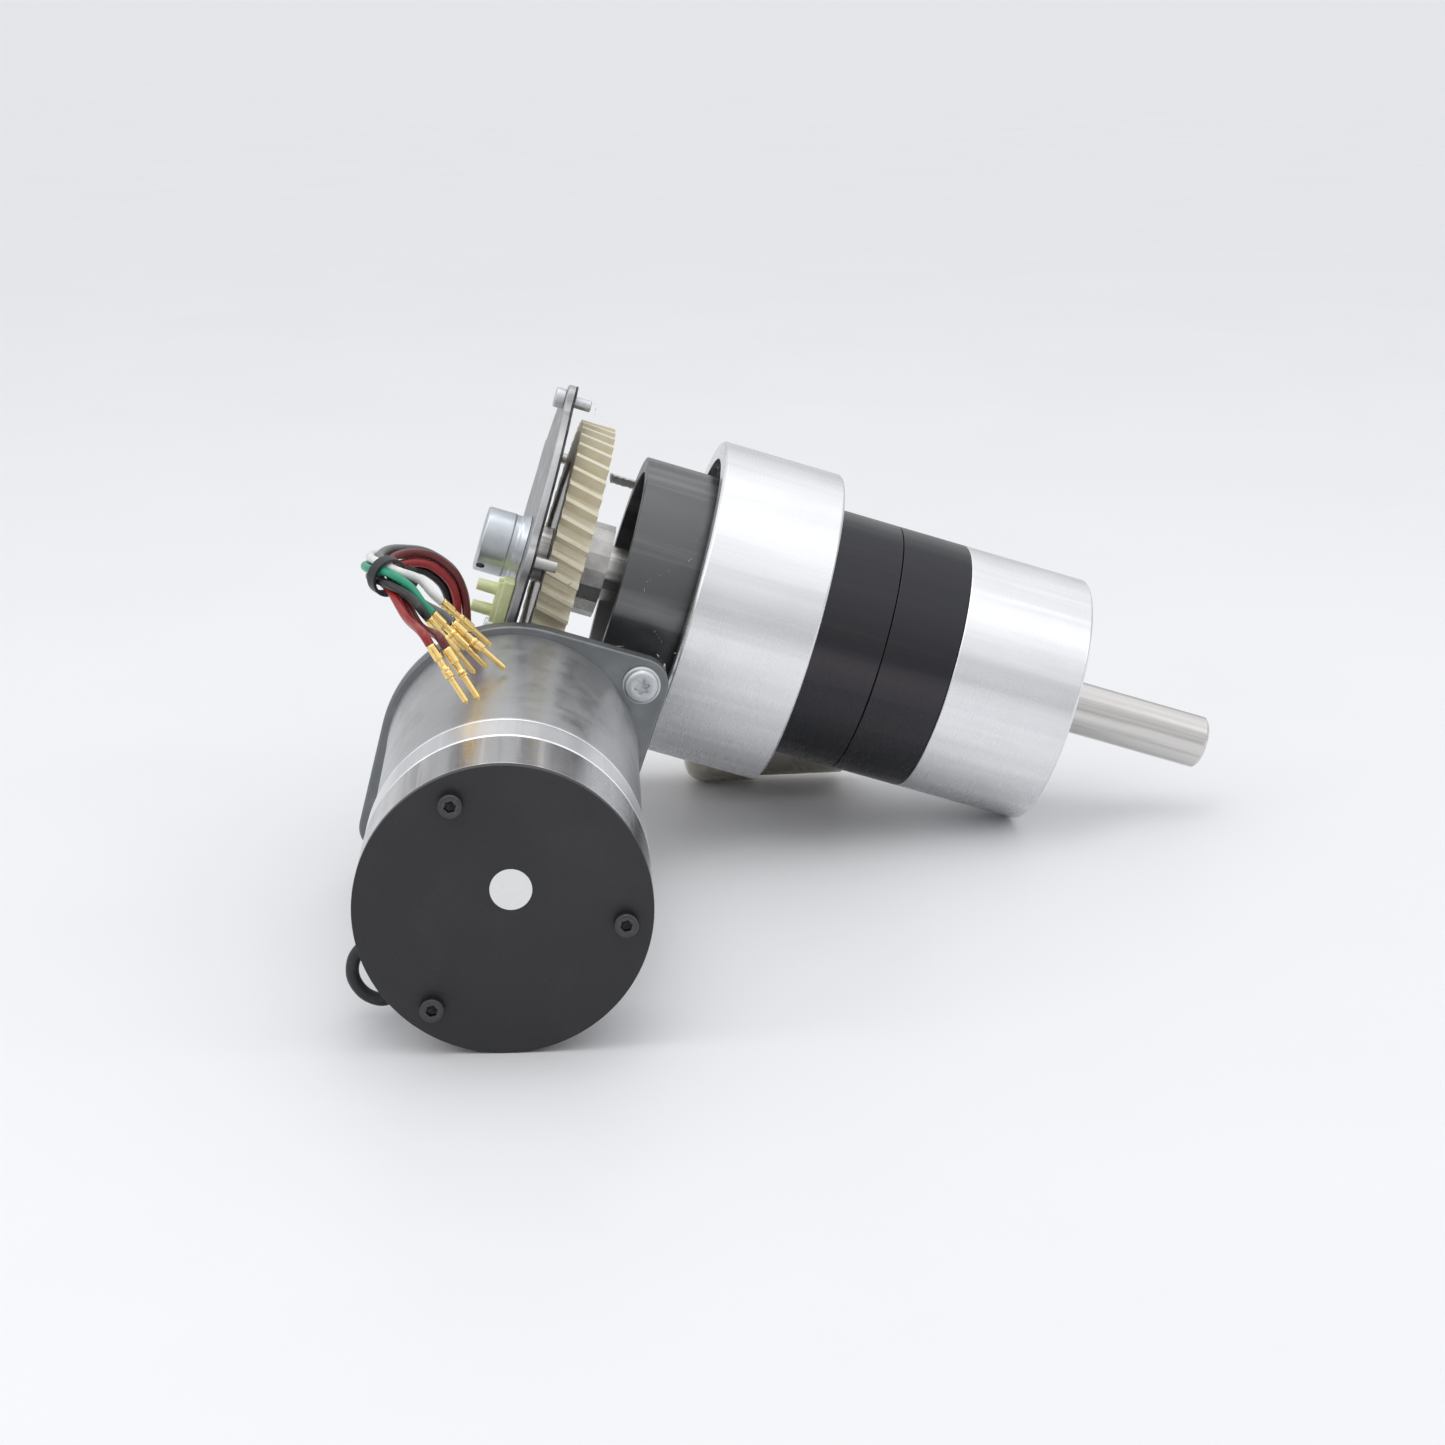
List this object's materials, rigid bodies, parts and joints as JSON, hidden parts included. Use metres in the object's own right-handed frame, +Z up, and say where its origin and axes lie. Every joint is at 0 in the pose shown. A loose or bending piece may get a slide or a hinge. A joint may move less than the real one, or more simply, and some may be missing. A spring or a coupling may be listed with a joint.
{
  "type": "right-angle worm and planetary gearmotor",
  "caption": "Round motor that drives a right-angle worm gearbox and an in-line planetary gearhead with a keyed output shaft, lying on a table with its wires and contacts loose.",
  "frame": {"origin": "middle of the footprint of the resting assembly, on the table", "axes": "+Z up from the table, +X the horizontal heading of the output shaft, +Y from the front of the motor to its back"},
  "size_m": [0.304, 0.2996, 0.1602],
  "materials": {
    "turned_aluminium": "turned, satin",
    "black_anodised": "black anodised",
    "cast_aluminium": "as cast, mottled",
    "dark_casting": "as cast, dark",
    "ground_steel": "ground",
    "zinc_steel": "zinc plated",
    "black_oxide": "black oxide",
    "nickel": "nickel plated",
    "gold": "gold plated",
    "seal_rubber": "matt",
    "black_plastic": "moulded",
    "pale_nylon": "translucent",
    "gear_nylon": "moulded",
    "copper": "enamelled",
    "insulation_grey": "extruded",
    "insulation_white": "extruded",
    "insulation_green": "extruded",
    "insulation_black": "extruded",
    "insulation_red": "extruded",
    "insulation_dark_red": "extruded",
    "white_label": "paper"
  },
  "bodies": {
    "housing": {"motor_adapter": "turned_aluminium", "ring_gear_1": "black_anodised", "ring_gear_2": "black_anodised", "output_flange": "turned_aluminium", "output_bearing_rear": "ground_steel", "output_bearing_front": "ground_steel", "output_seal": "seal_rubber", "worm_housing": "cast_aluminium", "housing_cover": "cast_aluminium", "cover_gasket": "seal_rubber", "cover_screw_1": "zinc_steel", "cover_screw_2": "zinc_steel", "cover_screw_3": "zinc_steel", "cover_dowel_1": "ground_steel", "cover_dowel_2": "ground_steel", "sensor_cup": "zinc_steel", "nylon_connector": "pale_nylon", "wheel_bearing": "ground_steel", "worm_end_bearing": "ground_steel", "motor_cover": "black_anodised", "cover_cap_screw_1": "black_oxide", "cover_cap_screw_2": "black_oxide", "cover_cap_screw_3": "black_oxide", "front_ring": "ground_steel", "spacer_ring": "turned_aluminium", "motor_can": "dark_casting", "motor_flange": "dark_casting", "flange_screw_upper": "zinc_steel", "flange_screw_lower": "zinc_steel", "stator": "copper", "auxiliary_can": "nickel", "auxiliary_bracket": "black_plastic", "wire_grommet": "black_plastic", "cable_tie": "black_plastic", "motor_lead": "seal_rubber", "wire_grey": "insulation_grey", "contact_grey": "gold", "wire_white": "insulation_white", "contact_white": "gold", "wire_green": "insulation_green", "contact_green": "gold", "wire_black": "insulation_black", "contact_black": "gold", "wire_red": "insulation_red", "contact_red": "gold", "wire_dark_red": "insulation_dark_red", "contact_dark_red": "gold"},
    "output": {"output_shaft": "ground_steel", "output_key": "ground_steel"},
    "carrier_1": {"carrier_1": "ground_steel"},
    "wheel": {"worm_wheel": "gear_nylon", "wheel_shaft": "ground_steel"},
    "worm": {"worm_shaft": "ground_steel", "rotor": "ground_steel"},
    "planet_1a": {"planet_1a": "ground_steel"},
    "planet_1b": {"planet_1b": "ground_steel"},
    "planet_1c": {"planet_1c": "ground_steel"},
    "planet_2a": {"planet_2a": "ground_steel"},
    "planet_2b": {"planet_2b": "ground_steel"},
    "planet_2c": {"planet_2c": "ground_steel"}
  },
  "joints": [
    {"name": "output_turn", "type": "hinge", "parent": "housing", "child": "output", "pos_m": [0.06036, 0.08305, 0.05294], "axis": [0.9566, 0, -0.2914], "continuous": true},
    {"name": "carrier_1_turn", "type": "hinge", "parent": "housing", "child": "carrier_1", "pos_m": [0.02209, 0.08305, 0.06459], "axis": [0.9566, 0, -0.2914], "continuous": true},
    {"name": "wheel_turn", "type": "hinge", "parent": "housing", "child": "wheel", "pos_m": [-0.08314, 0.08305, 0.09664], "axis": [0.9566, 0, -0.2914], "continuous": true},
    {"name": "worm_turn", "type": "hinge", "parent": "housing", "child": "worm", "pos_m": [-0.09963, 0.08305, 0.0425], "axis": [0, 1, 0], "continuous": true},
    {"name": "planet_1a_turn", "type": "hinge", "parent": "carrier_1", "child": "planet_1a", "pos_m": [0.01952, 0.08305, 0.09047], "axis": [0.9566, 0, -0.2914], "continuous": true},
    {"name": "planet_1b_turn", "type": "hinge", "parent": "carrier_1", "child": "planet_1b", "pos_m": [0.00903, 0.06227, 0.05603], "axis": [0.9566, 0, -0.2914], "continuous": true},
    {"name": "planet_1c_turn", "type": "hinge", "parent": "carrier_1", "child": "planet_1c", "pos_m": [0.00903, 0.10384, 0.05603], "axis": [0.9566, 0, -0.2914], "continuous": true},
    {"name": "planet_2a_turn", "type": "hinge", "parent": "output", "child": "planet_2a", "pos_m": [0.04439, 0.08305, 0.08289], "axis": [0.9566, 0, -0.2914], "continuous": true},
    {"name": "planet_2b_turn", "type": "hinge", "parent": "output", "child": "planet_2b", "pos_m": [0.0339, 0.06227, 0.04845], "axis": [0.9566, 0, -0.2914], "continuous": true},
    {"name": "planet_2c_turn", "type": "hinge", "parent": "output", "child": "planet_2c", "pos_m": [0.0339, 0.10384, 0.04845], "axis": [0.9566, 0, -0.2914], "continuous": true}
  ],
  "couplings": [
    {"joint": "carrier_1_turn", "follows": "output_turn", "ratio": 4},
    {"joint": "wheel_turn", "follows": "output_turn", "ratio": 16},
    {"joint": "worm_turn", "follows": "output_turn", "ratio": -384},
    {"joint": "planet_1a_turn", "follows": "output_turn", "ratio": -12},
    {"joint": "planet_1b_turn", "follows": "output_turn", "ratio": -12},
    {"joint": "planet_1c_turn", "follows": "output_turn", "ratio": -12},
    {"joint": "planet_2a_turn", "follows": "output_turn", "ratio": -3},
    {"joint": "planet_2b_turn", "follows": "output_turn", "ratio": -3},
    {"joint": "planet_2c_turn", "follows": "output_turn", "ratio": -3}
  ]
}
